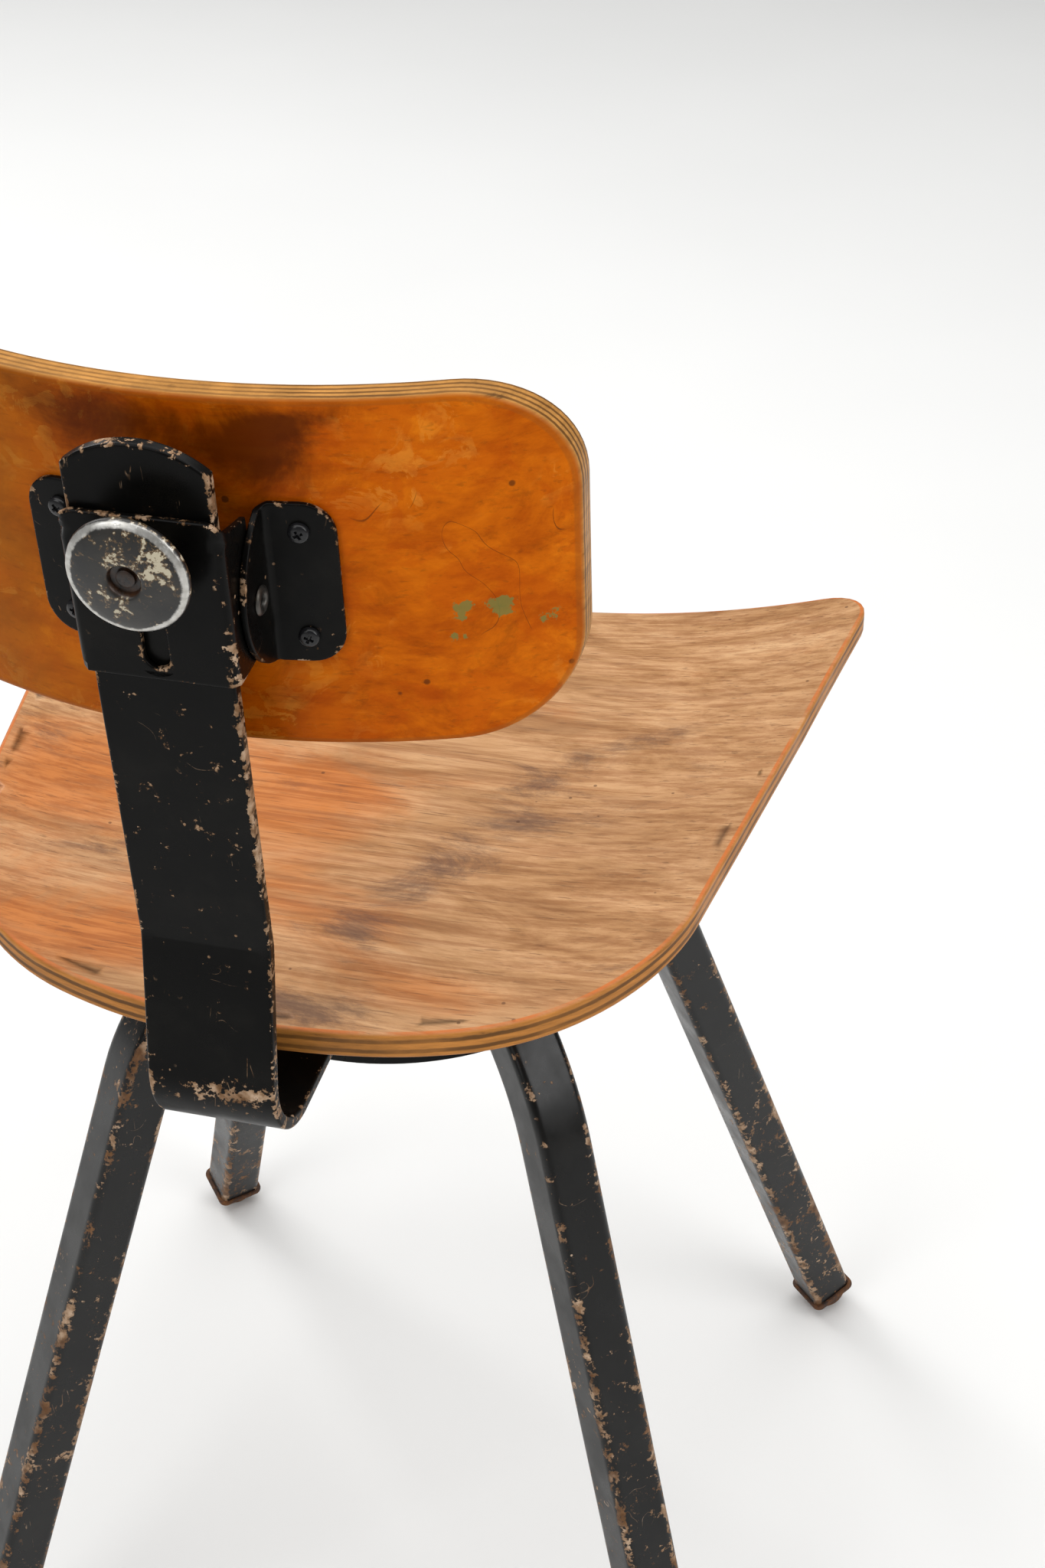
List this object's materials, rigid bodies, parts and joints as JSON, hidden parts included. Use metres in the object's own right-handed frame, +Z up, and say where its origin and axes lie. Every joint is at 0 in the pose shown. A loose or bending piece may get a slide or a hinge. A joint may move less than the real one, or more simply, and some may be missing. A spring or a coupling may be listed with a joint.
{
  "type": "drafting chair",
  "caption": "Drafting chair with a dished plywood seat on a screw spindle, four bent square legs and a sliding, tilting plywood backrest on a flat steel bar.",
  "frame": {"origin": "on the floor, under the middle of the whole chair's box", "axes": "+Z up, -Y the way the sitter faces, +X to the sitter's left"},
  "size_m": [0.4192, 0.4612, 0.7814],
  "materials": {
    "black_paint": "worn satin black paint",
    "rusty_steel": "rusted steel",
    "bare_steel": "dull bare steel",
    "bronze": "oiled bronze",
    "beech": "raw beech",
    "seat_ply": "worn varnished plywood",
    "back_ply": "varnished plywood",
    "worn_knob": "worn steel with dark patina",
    "black_screw": "black pan-head screw"
  },
  "bodies": {
    "base": {"leg_front_left": "black_paint", "leg_front_right": "black_paint", "leg_rear_left": "black_paint", "leg_rear_right": "black_paint", "foot_plate_front_left": "rusty_steel", "foot_plate_front_right": "rusty_steel", "foot_plate_rear_left": "rusty_steel", "foot_plate_rear_right": "rusty_steel", "glide_front_left": "rusty_steel", "glide_front_right": "rusty_steel", "glide_rear_left": "rusty_steel", "glide_rear_right": "rusty_steel", "brace_ring": "black_paint", "hub_tube": "black_paint", "hub_nut": "bronze"},
    "screw": {"spindle": "bare_steel", "spindle_stop": "bare_steel"},
    "seat": {"spindle_flange": "black_paint", "seat_block": "beech", "seat_panel": "seat_ply", "seat_screws": "bare_steel", "back_bar": "black_paint", "clamp_stud": "bare_steel"},
    "knob": {"clamp_knob": "worn_knob", "clamp_washer": "bare_steel"},
    "slide": {"slide_bracket": "black_paint", "pivot_rivet_left": "bare_steel", "pivot_rivet_right": "bare_steel"},
    "backrest": {"hinge_plate_left": "black_paint", "hinge_plate_right": "black_paint", "backrest_screws": "black_screw", "backrest_panel": "back_ply"}
  },
  "joints": [
    {"name": "seat_lift", "type": "slide", "parent": "base", "child": "screw", "axis": [0, 0, 1], "range_m": [0, 0.048]},
    {"name": "seat_turn", "type": "hinge", "parent": "screw", "child": "seat", "pos_m": [0, -0.02113, 0], "axis": [0, 0, 1], "range_deg": [0, 1440]},
    {"name": "backrest_slide", "type": "slide", "parent": "seat", "child": "slide", "axis": [0, 0.06, 0.9982], "range_m": [-0.004, 0.039]},
    {"name": "backrest_tilt", "type": "hinge", "parent": "slide", "child": "backrest", "pos_m": [0, 0.19338, 0.71123], "axis": [1, 0, 0], "range_deg": [-12, 12]},
    {"name": "knob_turn", "type": "hinge", "parent": "seat", "child": "knob", "pos_m": [0, 0.21138, 0.7357], "axis": [0, 0.9982, -0.06], "continuous": true}
  ],
  "couplings": [
    {"joint": "seat_lift", "follows": "seat_turn", "m_per_rad": 0.0019099}
  ]
}
